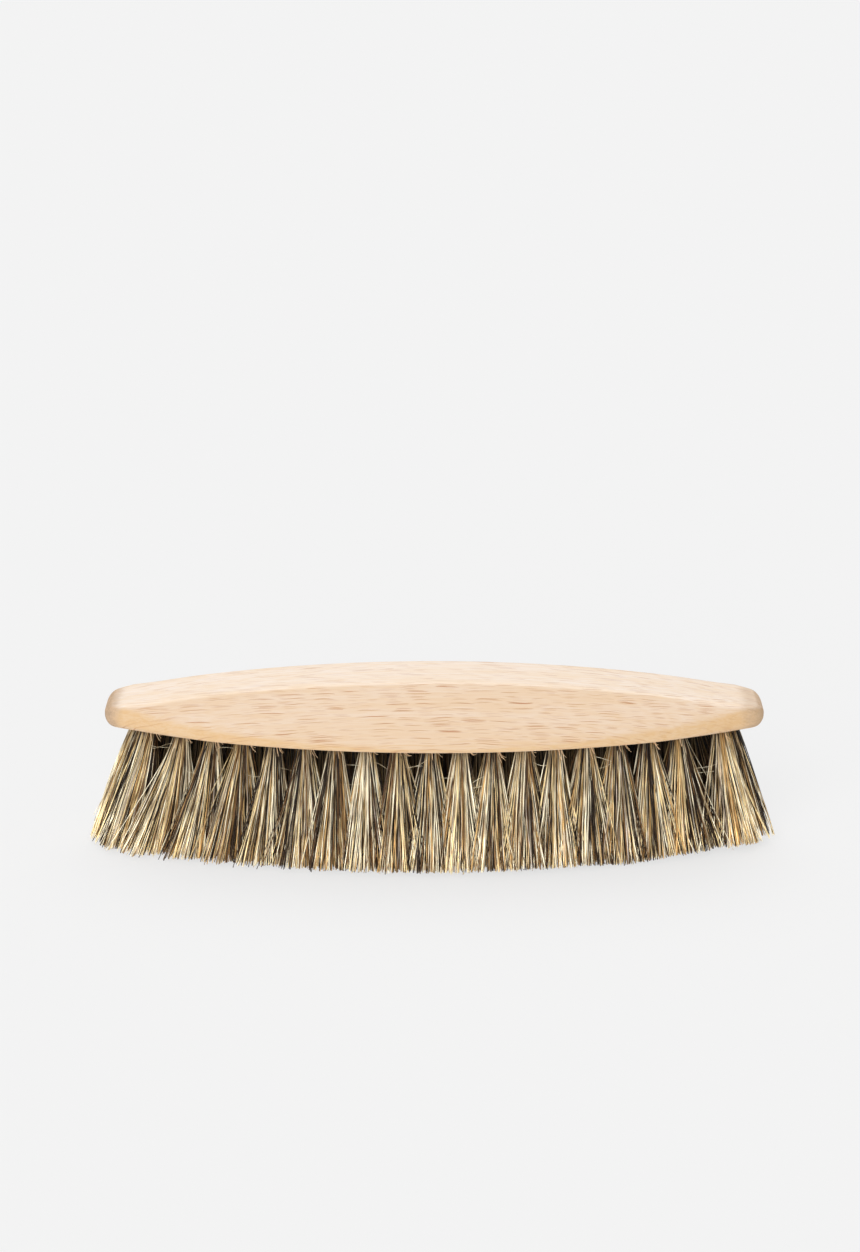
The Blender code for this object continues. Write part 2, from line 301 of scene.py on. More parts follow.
class TuftLayout:
    """Where the holes are drilled, and which way each tuft leans."""

    def __init__(self, shape, hair):
        self.hair = hair
        self.radius = shape.side_radius
        self.half_width = shape.sizes.width / 2
        self.height = shape.sizes.underside
        self.nose_x = shape.half - hair.nose_margin
        self.outer_y = self.half_width - hair.edge_margin
        self.row_end = self.nose_x - hair.nose_gap
        self.pitch = self.row_end / (TUFT_STEPS - 1 + END_STEP)
        self.row_pitch = self.outer_y / RING_COUNT
        self.rows = self.find_rows()

    def row_y(self, x, ring):
        """Distance of a ring of tufts from the middle line at x; ring 0 is the outer one."""
        slope = x / math.sqrt(self.radius**2 - x**2)
        margin = self.hair.edge_margin * math.sqrt(1 + slope**2)
        return self.half_width - arc_drop(self.radius, x) - margin - ring * self.row_pitch

    def free(self, x, y, taken):
        """True where a hole is far enough from the ones that are drilled already."""
        apart = [math.hypot((x - a) / self.pitch, (y - b) / self.row_pitch) for a, b in taken]
        return min(apart) >= LEAST_SPACING

    def find_rows(self):
        """The places of the tufts in each row, by row name."""
        rows = {"nose": [(-self.nose_x, 0.0), (self.nose_x, 0.0)]}
        taken = list(rows["nose"])
        for ring in range(RING_COUNT):
            places = self.steps_out(ring % 2 / 2)
            if ring == 0:
                places = [-self.row_end, *places, self.row_end]
            kept = []
            for x in places:
                y = self.row_y(x, ring)
                if y >= self.row_pitch / 2 and self.free(x, y, taken):
                    kept.append(x)
            for name, side in (("front", -1), ("rear", 1)):
                rows[f"{name}_{ring + 1}"] = [(x, side * self.row_y(x, ring)) for x in kept]
                taken += rows[f"{name}_{ring + 1}"]
        rows["middle"] = [(x, 0.0) for x in self.steps_out(1 / 2) if self.free(x, 0, taken)]
        return rows

    def steps_out(self, first):
        """Places along a row at one tuft pitch, from this share of it on both sides."""
        right = [(first + i) * self.pitch for i in range(TUFT_STEPS)]
        both = sorted({-x for x in right} | set(right))
        return [x - self.hair.drill_shift for x in both]

    def runs(self, name):
        """A row split where tufts are left out, each run with the node that holds it."""
        found = []
        for place in self.rows[name]:
            if not found or place[0] - found[-1][-1][0] > self.pitch * RUN_GAP:
                found.append([])
            found[-1].append(place)
        named = []
        for i, run in enumerate(found):
            node = f"row_{name}_{i + 1}" if len(run) > 1 else f"tuft_{name}_{i + 1:02d}"
            named.append((node, run))
        return named

    def tip_of(self, x, y):
        """Where the middle of a tuft has leant to at its tips."""
        lean = self.hair.left_lean if x < 0 else self.hair.right_lean
        tip_x = x + lean * (x / self.nose_x) ** LEAN_POWER
        return np.array((tip_x, y * (1 + self.hair.side_lean / self.outer_y), 0))

    def spacing(self, row, number):
        """Mean distance between the tips of this tuft and of its neighbours in the row."""
        places = self.rows[row]
        near = [i for i in (number - 1, number + 1) if 0 <= i < len(places)]
        here = self.tip_of(*places[number])
        apart = [np.linalg.norm(self.tip_of(*places[i]) - here) for i in near]
        return min(sum(apart) / len(apart), self.pitch * WIDEST_SPACING)

    def along(self, x, y):
        """Unit vector along the row at this tuft."""
        slope = 0 if y == 0 else -math.copysign(x / math.sqrt(self.radius**2 - x**2), y)
        return np.array((1, slope, 0)) / math.hypot(1, slope)

    def all_places(self):
        """Every hole of the brush."""
        return [place for row in self.rows.values() for place in row]


# Shader nodes


def node(tree, kind, values=None, **settings):
    """Adds a node with these settings, and with these values or links on its inputs."""
    made = tree.nodes.new(kind)
    for name, value in settings.items():
        setattr(made, name, value)
    for name, value in (values or {}).items():
        if isinstance(value, bpy.types.NodeSocket):
            tree.links.new(value, made.inputs[name])
        else:
            made.inputs[name].default_value = value
    return made


def calculate(tree, operation, first, second=0.0):
    """A sum, product or other calculation with two numbers."""
    return node(tree, "ShaderNodeMath", {0: first, 1: second}, operation=operation).outputs[0]


def stretched(tree, place, scale):
    """The place, scaled by this much along each axis."""
    values = {0: place, 1: scale}
    return node(tree, "ShaderNodeVectorMath", values, operation="MULTIPLY").outputs[0]


def scaled(tree, tint, amount):
    """A colour made lighter or darker by this factor."""
    values = {0: tint, "Scale": amount}
    return node(tree, "ShaderNodeVectorMath", values, operation="SCALE").outputs[0]


def between(tree, value, low, high, to_low=0.0, to_high=1.0):
    """Turns a range of values softly into another."""
    values = {"Value": value, 1: low, 2: high, 3: to_low, 4: to_high}
    made = node(tree, "ShaderNodeMapRange", values, interpolation_type="SMOOTHSTEP")
    return made.outputs["Result"]


def mixed(tree, factor, one, two, blend="MIX"):
    """One colour over another, by a factor."""
    values = {"Factor": factor, 6: one, 7: two}
    made = node(tree, "ShaderNodeMix", values, data_type="RGBA", blend_type=blend)
    return made.outputs[2]


def rgba(tint):
    """A colour with full opacity."""
    return (*tint, 1.0)


def new_group(name, inputs, outputs):
    """An empty shader node group with these named sockets."""
    kinds = {"float": "NodeSocketFloat", "colour": "NodeSocketColor", "place": "NodeSocketVector"}
    tree = bpy.data.node_groups.new(name, "ShaderNodeTree")
    for label, kind, default in inputs:
        made = tree.interface.new_socket(name=label, in_out="INPUT", socket_type=kinds[kind])
        made.default_value = default
    for label, kind in outputs:
        tree.interface.new_socket(name=label, in_out="OUTPUT", socket_type=kinds[kind])
    entry = tree.nodes.new("NodeGroupInput")
    leave = tree.nodes.new("NodeGroupOutput")
    return tree, entry.outputs, leave.inputs


def place_group(tree, group, values):
    """A group placed in a material with its own values and links."""
    return node(tree, "ShaderNodeGroup", values, node_tree=group).outputs


def new_material(name):
    """A material and its shader."""
    material = bpy.data.materials.new(name)
    material.use_nodes = True
    return material, material.node_tree, material.node_tree.nodes["Principled BSDF"]


# The wood


# Streaks: repeats per millimetre along X, Y and Z, the noise where they start and are full, weight
Streaks = namedtuple("Streaks", "scale start full weight")
BANDS = Streaks((0.010, 0.16, 0.22), 0.38, 0.66, 0.5)
FIBRES = Streaks((0.09, 2.6, 2.6), 0.36, 0.70, 0.6)
LINES = Streaks((0.03, 1.1, 1.1), 0.42, 0.66, 0.5)
STREAKS = (BANDS, FIBRES, LINES)

# Dashes: cells per millimetre along, down and across, the share left empty, and the longest reach
Dashes = namedtuple("Dashes", "scale empty reach")
BOLD = Dashes((0.12, 2.7, 0.15), 0.32, 0.50)
FINE = Dashes((0.18, 3.6, 0.21), 0.25, 0.46)
FINE_STRENGTH = 0.55
PALEST_DASH = 0.50
DASH_SOFTNESS = 0.13
DASH_SLANT = (1.0, 1.3, -0.9)

# The grain wanders sideways by this many millimetres
WANDER_SCALE = (0.02, 0.05, 0.05)
WANDER = (0.0, 1.3, 1.3)

# Speckle of the end grain: repeats per millimetre, then the noise's range and what it turns into
PORE_SCALE = (0.6, 3.2, 3.2)
RING_SCALE = (0.05, 0.5, 1.1)
SPECKLE = (0.35, 0.65, 0.90, 1.06)

# The surface: how far flecks sink and fibres rise, both as shares of the bump, and its shine
FLECK_DEPTH = 0.50
FIBRE_HEIGHT = 0.35
WOOD_ROUGHNESS = 0.70
FLECK_ROUGHNESS = 0.20
WOOD_SPECULAR = 0.12
BUMP_STRENGTH = 0.35
BUMP_DISTANCE = 0.06 * MM


def streaks(tree, place, scale, detail=3.0):
    """Noise stretched along the grain."""
    values = {"Vector": stretched(tree, place, scale), "Scale": 1.0, "Detail": detail}
    return node(tree, "ShaderNodeTexNoise", values).outputs["Fac"]


def dashes(tree, place, kind):
    """Short dashes along the grain, scattered over the wood, as a strength from 0 to 1."""
    values = {"Vector": stretched(tree, place, kind.scale), "Scale": 1.0, "Randomness": 1.0}
    cell = node(tree, "ShaderNodeTexVoronoi", values, feature="F1").outputs
    chance = node(tree, "ShaderNodeSeparateColor", {"Color": cell["Color"]}).outputs
    reach = between(tree, chance[0], kind.empty, 1.0, 0.0, kind.reach)
    near = calculate(tree, "SUBTRACT", reach, cell["Distance"])
    strength = between(tree, chance[1], 0.0, 1.0, PALEST_DASH, 1.0)
    return calculate(tree, "MULTIPLY", between(tree, near, 0.0, DASH_SOFTNESS), strength)


def flecks_at(tree, place):
    """Dashes laid along the grain on every face, counted from the crown down both sides."""
    values = {0: place, 1: DASH_SLANT}
    along = node(tree, "ShaderNodeVectorMath", values, operation="DOT_PRODUCT").outputs["Value"]
    split = node(tree, "ShaderNodeSeparateXYZ", {0: place}).outputs
    down = calculate(tree, "SUBTRACT", calculate(tree, "ABSOLUTE", split["Y"]), split["Z"])
    spot = node(tree, "ShaderNodeCombineXYZ", {0: along, 1: down, 2: split["Y"]}).outputs[0]
    fine = calculate(tree, "MULTIPLY", dashes(tree, spot, FINE), FINE_STRENGTH)
    return calculate(tree, "MAXIMUM", dashes(tree, spot, BOLD), fine)


def beech_figure():
    """Colour, flecks and pores of beech, from the place on the object."""
    found = bpy.data.node_groups.get("beech_figure")
    if found:
        return found
    tree, given, out = new_group(
        "beech_figure",
        [
            ("Place", "place", (0, 0, 0)),
            ("End Mask", "float", 0.0),
            ("Wood", "colour", (1, 1, 1, 1)),
            ("Band", "colour", (1, 1, 1, 1)),
            ("Fleck", "colour", (1, 1, 1, 1)),
            ("End Grain", "colour", (1, 1, 1, 1)),
            ("Fleck Strength", "float", 1.0),
        ],
        [("Color", "colour"), ("Height", "float"), ("Roughness", "float")],
    )
    place = stretched(tree, given["Place"], (1 / MM, 1 / MM, 1 / MM))
    wander = node(tree, "ShaderNodeTexNoise", {"Vector": stretched(tree, place, WANDER_SCALE)})
    bend = stretched(tree, wander.outputs["Color"], WANDER)
    place = node(tree, "ShaderNodeVectorMath", {0: place, 1: bend}, operation="ADD").outputs[0]

    noise = {kind: streaks(tree, place, kind.scale) for kind in STREAKS}
    banded = 0.0
    for kind, value in noise.items():
        shown = between(tree, value, kind.start, kind.full, 0.0, kind.weight)
        banded = calculate(tree, "ADD", banded, shown)
    dense = mixed(tree, 1.0, given["Wood"], given["Band"], "MULTIPLY")
    tint = mixed(tree, banded, given["Wood"], dense)
    flecks = calculate(tree, "MULTIPLY", flecks_at(tree, place), given["Fleck Strength"])
    tint = mixed(tree, flecks, tint, given["Fleck"])

    speckle = 1.0
    for scale in (PORE_SCALE, RING_SCALE):
        tone = between(tree, streaks(tree, place, scale, 2.0), *SPECKLE)
        speckle = calculate(tree, "MULTIPLY", speckle, tone)
    cut = scaled(tree, given["End Grain"], speckle)
    tree.links.new(mixed(tree, given["End Mask"], tint, cut), out["Color"])

    sunk = calculate(tree, "MULTIPLY", flecks, -FLECK_DEPTH)
    raised = calculate(tree, "MULTIPLY", noise[FIBRES], FIBRE_HEIGHT)
    tree.links.new(calculate(tree, "ADD", sunk, raised), out["Height"])
    rough = calculate(tree, "MULTIPLY", flecks, FLECK_ROUGHNESS)
    tree.links.new(calculate(tree, "ADD", rough, WOOD_ROUGHNESS), out["Roughness"])
    return tree


# The end grain fades in over twice this softness, along a line that wanders this far
END_SOFTNESS = 2.0 * MM
END_WANDER = (0.3, 0.7, -0.35 * MM, 0.35 * MM)
WANDERS_A_METRE = 0.35 / MM
RIGHT_END_SHARE = 0.55

# How far faces look up: level ones take a share of the end grain, and the underside none
LEVEL_TO_STEEP = (0.999, 0.82, 0.80, 1.0)
BELOW_TO_SIDE = (-0.9, -0.6)


def end_mask(tree, place, facing, block):
    """One at the noses, where the end grain shows, and zero along the block and below it."""
    wander = node(tree, "ShaderNodeTexNoise", {"Vector": place, "Scale": WANDERS_A_METRE})
    shift = between(tree, wander.outputs["Fac"], *END_WANDER)
    x = node(tree, "ShaderNodeSeparateXYZ", {0: place}).outputs["X"]
    x = calculate(tree, "ADD", x, shift)
    left = block.left_end - block.length / 2
    right = block.length / 2 - block.right_end
    at_left = between(tree, x, left + END_SOFTNESS, left - END_SOFTNESS)
    at_right = between(tree, x, right - END_SOFTNESS, right + END_SOFTNESS, 0.0, RIGHT_END_SHARE)
    ends = calculate(tree, "MAXIMUM", at_left, at_right)
    steep = between(tree, facing, *LEVEL_TO_STEEP)
    above = between(tree, facing, *BELOW_TO_SIDE)
    return calculate(tree, "MULTIPLY", calculate(tree, "MULTIPLY", ends, steep), above)


# How far faces look up, where the strip's colour with its painted light, the strip's flecks and the
# edge's colour with its painted shade begin
TOP_FACING = (0.86, 0.96)
FLECK_FACING = (0.86, 0.97)
EDGE_FACING = (0.80, 0.20)
STRIP_FLECKS = 0.6
WALL_FLECKS = 0.4

# Low down, all faces take this share of the edge's darker, warmer colour as painted shade, which
# fades out between two heights
EDGE_FADE = 4.0 * MM
EDGE_FULL = 0.8 * MM
EDGE_SHARE = 0.6


def beech_material(name, block, fleck_strength=1.0, shade=1.0):
    """Sanded, unlacquered beech, with painted light and shade: lighter along its top, a little
    warmer and darker on its sides and upright edges, and all of it darker or lighter by the shade
    factor.
    """
    found = bpy.data.materials.get(name)
    if found:
        return found
    material, tree, shader = new_material(name)
    place = node(tree, "ShaderNodeTexCoord").outputs["Object"]
    normal = node(tree, "ShaderNodeNewGeometry").outputs["Normal"]
    facing = node(tree, "ShaderNodeSeparateXYZ", {0: normal}).outputs["Z"]
    top, side, edge, fleck, end = (
        rgba([min(c * shade, 1) for c in tint])
        for tint in (block.lit_top_wood, block.shaded_side_wood, block.shaded_edge_wood, block.fleck, block.end_grain)
    )
    # Painted light on the strip, and painted shade on the sides, on the upright edges and low down
    wood = mixed(tree, between(tree, facing, *TOP_FACING), side, top)
    height = node(tree, "ShaderNodeSeparateXYZ", {0: place}).outputs["Z"]
    fade, full = block.underside + EDGE_FADE, block.underside + EDGE_FULL
    low = between(tree, height, fade, full, 0.0, EDGE_SHARE)
    upright = between(tree, calculate(tree, "ABSOLUTE", facing), *EDGE_FACING)
    upright = calculate(tree, "MAXIMUM", upright, low)
    on_strip = fleck_strength * STRIP_FLECKS
    showing = between(tree, facing, *FLECK_FACING, fleck_strength, on_strip)
    on_wall = between(tree, upright, 0.0, 1.0, 1.0, WALL_FLECKS)
    showing = calculate(tree, "MULTIPLY", showing, on_wall)
    made = place_group(
        tree,
        beech_figure(),
        {
            "Place": place,
            "End Mask": end_mask(tree, place, facing, block),
            "Wood": mixed(tree, upright, wood, edge),
            "Band": rgba(block.band),
            "Fleck": fleck,
            "End Grain": end,
            "Fleck Strength": showing,
        },
    )
    bump = node(tree, "ShaderNodeBump", {"Height": made["Height"]})
    bump.inputs["Strength"].default_value = BUMP_STRENGTH
    bump.inputs["Distance"].default_value = BUMP_DISTANCE
    tree.links.new(made["Color"], shader.inputs["Base Color"])
    tree.links.new(made["Roughness"], shader.inputs["Roughness"])
    tree.links.new(bump.outputs[0], shader.inputs["Normal"])
    shader.inputs["Specular IOR Level"].default_value = WOOD_SPECULAR
    return material


# The colours of the hair


# The number, from 0 to 1, from which hairs take each colour
HAIR_COLOURS = {
    "Black": 0.0,
    "Brown": 0.30,
    "Tan": 0.41,
    "Ash": 0.51,
    "Straw": 0.56,
    "Cream": 0.73,
}
COLOUR_STEP = 0.02

# Each hair has its own mottle, partly its own tone and partly painted glints and shade: repeats per
# metre, and how far apart hairs lie in the noise
MOTTLE_AND_GLINTS_SCALE = (0.35 / MM, 0.35 / MM, 0.12 / MM)
MOTTLE_AND_GLINTS_APART = 150.0

# The range of the mottle's noise and what it turns into, and the same for the place along a hair,
# where painted light brightens the tips
MOTTLE_AND_GLINTS = (0.3, 0.7, 0.42, 1.54)
HAIR_ROUGHNESS = (0.3, 0.7, 0.36, 0.52)
PAINTED_TIP_LIGHT = (0.60, 1.0, 1.0, 1.35)
HAIR_SPECULAR = 0.3

# How much painted shade darkens the roots, and where along a hair that shade starts to fade and is
# gone
EDGE_SHADE = (0.78, 0.0, 0.48)
INNER_SHADE = (0.88, 0.30, 0.90)


def hair_mix():
    """Picks a hair's colour by its number, and paints shade on it from root to tip."""
    found = bpy.data.node_groups.get("hair_mix")
    if found:
        return found
    tree, given, out = new_group(
        "hair_mix",
        [
            ("Strand", "float", 0.0),
            ("Along", "float", 0.0),
            ("Place", "place", (0, 0, 0)),
            *((label, "colour", (1, 1, 1, 1)) for label in (*HAIR_COLOURS, "Shade")),
            ("Root Shade", "float", 0.5),
            ("Shade Start", "float", 0.0),
            ("Shade End", "float", 0.5),
        ],
        [("Color", "colour"), ("Roughness", "float")],
    )
    tint = given["Black"]
    for label, start in list(HAIR_COLOURS.items())[1:]:
        values = {"Value": given["Strand"], 1: start - COLOUR_STEP, 2: start}
        pick = node(tree, "ShaderNodeMapRange", values)
        tint = mixed(tree, pick.outputs[0], tint, given[label])
    values = {
        "Vector": stretched(tree, given["Place"], MOTTLE_AND_GLINTS_SCALE),
        "W": calculate(tree, "MULTIPLY", given["Strand"], MOTTLE_AND_GLINTS_APART),
        "Scale": 1.0,
        "Detail": 2.0,
    }
    mottle_and_glints = node(tree, "ShaderNodeTexNoise", values, noise_dimensions="4D").outputs["Fac"]
    tone_and_glint = between(tree, mottle_and_glints, *MOTTLE_AND_GLINTS)
    tip = between(tree, given["Along"], given["Shade Start"], given["Shade End"], 0.0, 1.0)
    keep = calculate(tree, "SUBTRACT", 1.0, given["Root Shade"])
    lift = calculate(tree, "MULTIPLY", given["Root Shade"], tip)
    shade = calculate(tree, "MULTIPLY", calculate(tree, "ADD", keep, lift), tone_and_glint)
    # Where the painted shade and the mottle darken a hair, it also takes the warm shade tint
    warmth = mixed(tree, shade, given["Shade"], (1, 1, 1, 1))
    tint = mixed(tree, 1.0, tint, warmth, "MULTIPLY")
    painted_tip_light = between(tree, given["Along"], *PAINTED_TIP_LIGHT)
    tree.links.new(scaled(tree, tint, calculate(tree, "MULTIPLY", shade, painted_tip_light)), out["Color"])
    tree.links.new(between(tree, mottle_and_glints, *HAIR_ROUGHNESS), out["Roughness"])
    return tree


def hair_material(name, hair, root_shade, start, end):
    """Mixed natural hair: each hair keeps one colour, with painted shade towards its root."""
    found = bpy.data.materials.get(name)
    if found:
        return found
    material, tree, shader = new_material(name)
    values = {
        "Strand": node(tree, "ShaderNodeAttribute", attribute_name="strand").outputs["Fac"],
        "Along": node(tree, "ShaderNodeAttribute", attribute_name="along").outputs["Fac"],
        "Place": node(tree, "ShaderNodeTexCoord").outputs["Object"],
        "Root Shade": root_shade,
        "Shade Start": start,
        "Shade End": end,
    }
    for label in (*HAIR_COLOURS, "Shade"):
        values[label] = rgba(getattr(hair, label.lower()))
    made = place_group(tree, hair_mix(), values)
    tree.links.new(made["Color"], shader.inputs["Base Color"])
    tree.links.new(made["Roughness"], shader.inputs["Roughness"])
    shader.inputs["Specular IOR Level"].default_value = HAIR_SPECULAR
    return material


def edge_hair(hair):
    """The hair that shows from outside."""
    return hair_material("edge_hair", hair, *EDGE_SHADE)


# Meshes


# Tubes are turned round their paths by their number times this many turns
TURNS_APART = 7

# The share of its cell of the bake map that a tube fills, the share of that for an end cap's strip,
# and the cap in its strip: half its width, half its height and its middle
CELL_FILL = 0.84
CAP_SHARE = 0.08
CAP_HALF_WIDTH = 0.40
CAP_HALF_HEIGHT = 0.35
CAP_MIDDLE = 0.40


def tube_mesh(name, paths, radii, across, strand, sides=3):
    """Closed thin tubes, one along each row of points, each with its own part of the bake map.

    The paths are (tube, ring, xyz), the radii (tube, ring), and across is a direction for each
    tube that its path never points along.
    """
    tubes, rings = radii.shape
    step = np.gradient(paths, axis=1)
    step /= np.linalg.norm(step, axis=2, keepdims=True)
    side = np.cross(step, across[:, None, :])
    side /= np.linalg.norm(side, axis=2, keepdims=True)
    other = np.cross(step, side)
    turn = strand[:, None, None] * TURNS_APART + np.arange(sides)[None, None, :] / sides
    turn = np.broadcast_to(turn * math.tau, (tubes, rings, sides))[..., None]
    reach = radii[:, :, None, None]
    ring = side[:, :, None] * np.cos(turn) + other[:, :, None] * np.sin(turn)
    points = paths[:, :, None, :] + ring * reach

    first = np.arange(tubes)[:, None, None] * rings * sides
    low = first + np.arange(rings - 1)[None, :, None] * sides
    corner = np.arange(sides)[None, None, :]
    after = (corner + 1) % sides
    walls = np.stack((low + corner, low + sides + corner, low + sides + after, low + after), -1)
    start = first[:, 0] + np.arange(sides)[None, :]
    end = first[:, 0] + (rings - 1) * sides + np.arange(sides)[::-1][None, :]
    loops = np.concatenate((walls.reshape(tubes, -1), start, end), axis=1)
    counts = [4] * ((rings - 1) * sides) + [sides, sides]

    columns = math.ceil(math.sqrt(tubes))
    cells = np.arange(tubes)
    corner_u = (cells % columns)[:, None]
    corner_v = (cells // columns)[:, None]
    u, v = tube_map(rings, sides)
    margin = (1 - CELL_FILL) / 2
    u = (corner_u + margin + CELL_FILL * u[None]) / columns
    v = (corner_v + margin + CELL_FILL * v[None]) / columns

    mesh = bpy.data.meshes.new(name)
    mesh.vertices.add(tubes * rings * sides)
    mesh.vertices.foreach_set("co", points.astype(np.float32).ravel())
    mesh.loops.add(loops.size)
    mesh.loops.foreach_set("vertex_index", loops.astype(np.int32).ravel())
    starts = np.concatenate(([0], np.cumsum(counts * tubes)[:-1]))
    mesh.polygons.add(len(starts))
    mesh.polygons.foreach_set("loop_start", starts.astype(np.int32))
    mesh.update(calc_edges=True)
    bake = mesh.uv_layers.new(name=BAKE_MAP)
    bake.uv.foreach_set("vector", np.stack((u, v), -1).astype(np.float32).ravel())
    mesh.attributes.new("strand", "FLOAT", "POINT").data.foreach_set(
        "value", np.repeat(strand, rings * sides).astype(np.float32)
    )
    along = np.broadcast_to(np.linspace(0, 1, rings)[None, :, None], (tubes, rings, sides))
    mesh.attributes.new("along", "FLOAT", "POINT").data.foreach_set(
        "value", along.astype(np.float32).ravel()
    )
    mesh.shade_smooth()
    mesh.validate()
    return mesh


def into(area, value):
    """A value from 0 to 1, put into this part of the map."""
    return area[0] + (area[1] - area[0]) * value


def tube_map(rings, sides):
    """Where a tube's corners go in its cell of the bake map: the wall between two end caps."""
    u = []
    v = []
    for ring in range(rings - 1):
        low = into((CAP_SHARE, 1 - CAP_SHARE), ring / (rings - 1))
        high = into((CAP_SHARE, 1 - CAP_SHARE), (ring + 1) / (rings - 1))
        for side in range(sides):
            u += [side / sides, side / sides, (side + 1) / sides, (side + 1) / sides]
            v += [low, high, high, low]
    turns = [math.tau * i / sides for i in range(sides)]
    middle = CAP_SHARE * CAP_MIDDLE
    for height, way in ((middle, 1), (1 - middle, -1)):
        u += [0.5 + CAP_HALF_WIDTH * math.sin(turn) for turn in turns]
        v += [height + way * CAP_SHARE * CAP_HALF_HEIGHT * math.cos(turn) for turn in turns]
    return np.array(u), np.array(v)


def add_piece(name, mesh, material, slot, *nodes):
    """Puts a finished mesh on the brush, in place of these nodes of the model."""
    mesh.materials.append(material)
    made = bpy.data.objects.new(name, mesh)
    bpy.context.scene.collection.objects.link(made)
    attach(made, BODY)
    if nodes:
        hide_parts(*nodes)
    return made


# The block


SHARP_ANGLE = math.radians(38)

# The holes: their sides, how far they reach past the roots, and the chamfer at their rims
HOLE_SIDES = 20
HOLE_CLEARANCE = 0.3 * MM
CHAMFER = 0.12 * MM
JOIN_DISTANCE = 1e-7

# Parts of the bake map: the underside and the top across the block, and both along it
UNDER_MAP = (0.100, 0.330)
TOP_MAP = (0.345, 0.997)
SIDE_MAP = (0.003, 0.997)

# The flat ends of the noses: the middles of the two, their lower edge and their scale
CAP_MIDDLES = (0.05, 0.15)
CAP_LOW = 0.035
CAP_SCALE = 0.3

# The bores: columns, their place along the map, and sizes of a row, a bore, a margin and a level
BORE_COLUMNS = 34
BORE_MAP = (0.2, 1.0)
BORE_ROW = 0.031
BORE_WIDTH = 0.021
BORE_MARGIN = 0.004
BORE_LEVEL = 0.007


def spaced(points):
    """How far along a line of points each one is, from 0 to 1."""
    steps = [(b - a).length for a, b in zip(points, points[1:])]
    total = sum(steps)
    reached = [0.0]
    for step in steps:
        reached.append(reached[-1] + step / total)
    return reached


def block_mesh(shape, layout):
    """The block, with every blind hole drilled along the lean of its tuft."""
    places = shape.places()
    rings = [shape.section(x) for x in places]
    count = len(rings[0])
    around = spaced(rings[len(rings) // 2])
    wall_point = ROUNDING_STEPS + 1
    along = spaced([ring[wall_point] for ring in rings])
    bm = bmesh.new()
    bake = bm.loops.layers.uv.new(BAKE_MAP)
    rows = [[bm.verts.new(p) for p in ring] for ring in rings]

    def face(corners, uvs, bore=False):
        made = bm.faces.new(corners)
        made.smooth = True
        made.material_index = 1 if bore else 0
        for loop, uv in zip(made.loops, uvs):
            loop[bake].uv = uv
        return made

    flat = [i for i, x in enumerate(places) if abs(x) <= shape.flat_to()]
    for i in range(len(rows) - 1):
        one, two = rows[i], rows[i + 1]
        u = into(SIDE_MAP, along[i]), into(SIDE_MAP, along[i + 1])
        for j in range(count - 1):
            v = into(TOP_MAP, around[j]), into(TOP_MAP, around[j + 1])
            face(
                (one[j], two[j], two[j + 1], one[j + 1]),
                ((u[0], v[0]), (u[1], v[0]), (u[1], v[1]), (u[0], v[1])),
            )
        if i < flat[0] or i >= flat[-1]:
            wide = [shape.half_width(x) / shape.sizes.width for x in (places[i], places[i + 1])]
            front = [into(UNDER_MAP, 1 / 2 - w) for w in wide]
            rear = [into(UNDER_MAP, 1 / 2 + w) for w in wide]
            face(
                (two[0], one[0], one[-1], two[-1]),
                ((u[1], front[1]), (u[0], front[0]), (u[0], rear[0]), (u[1], rear[1])),
            )
    scale = CAP_SCALE / shape.sizes.width
    for ring, middle_u in zip((rows[0], rows[-1][::-1]), CAP_MIDDLES):
        u = [middle_u + v.co.y * scale for v in ring]
        v = [CAP_LOW + (v.co.z - shape.sizes.underside) * scale for v in ring]
        face(ring, zip(u, v))
    drill_underside(bm, face, shape, layout, rows[flat[0] : flat[-1] + 1], places, along)
    mesh = bpy.data.meshes.new("beech_block")
    bm.normal_update()
    bm.to_mesh(mesh)
    bm.free()
    mesh.set_sharp_from_angle(angle=SHARP_ANGLE)
    return mesh


